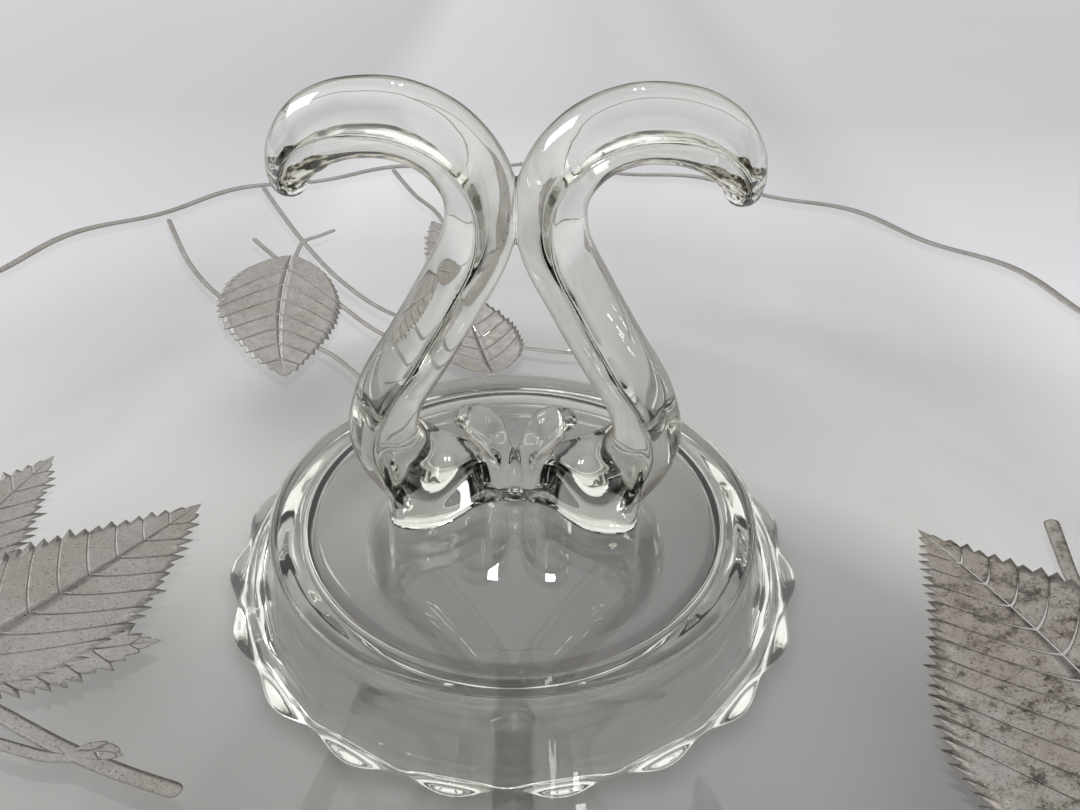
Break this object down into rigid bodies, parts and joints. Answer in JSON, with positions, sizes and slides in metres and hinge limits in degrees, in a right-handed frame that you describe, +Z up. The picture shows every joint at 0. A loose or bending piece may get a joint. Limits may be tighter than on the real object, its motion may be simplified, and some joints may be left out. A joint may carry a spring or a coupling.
{
  "type": "chip and dip server",
  "caption": "Clear glass centre-handled server: shallow wavy-rimmed plate on a scalloped foot, double scroll handle, silver leaf overlay.",
  "frame": {"origin": "centre of the foot's resting ring, on the table", "axes": "+Z up through the handle, +X across the handle from scroll to scroll, +Y to the back"},
  "size_m": [0.3148, 0.3168, 0.113],
  "materials": {
    "glass": "clear pressed glass, fire polished",
    "silver": "silver overlay, lightly tarnished, with dark specks"
  },
  "bodies": {
    "root": {"plate": "glass", "foot": "glass", "handle_base": "glass", "left_scroll": "glass", "right_scroll": "glass", "rim_band": "silver", "back_leaf_large": "silver", "back_leaf_middle": "silver", "back_leaf_small": "silver", "back_stem_left": "silver", "back_stem_middle": "silver", "back_stem_right": "silver", "back_stem_low": "silver", "back_twig": "silver", "left_leaf": "silver", "left_leaf_low": "silver", "left_branch": "silver", "left_bud": "silver", "right_leaf": "silver", "right_leaf_low": "silver", "right_stem": "silver", "right_twig": "silver"}
  },
  "joints": []
}
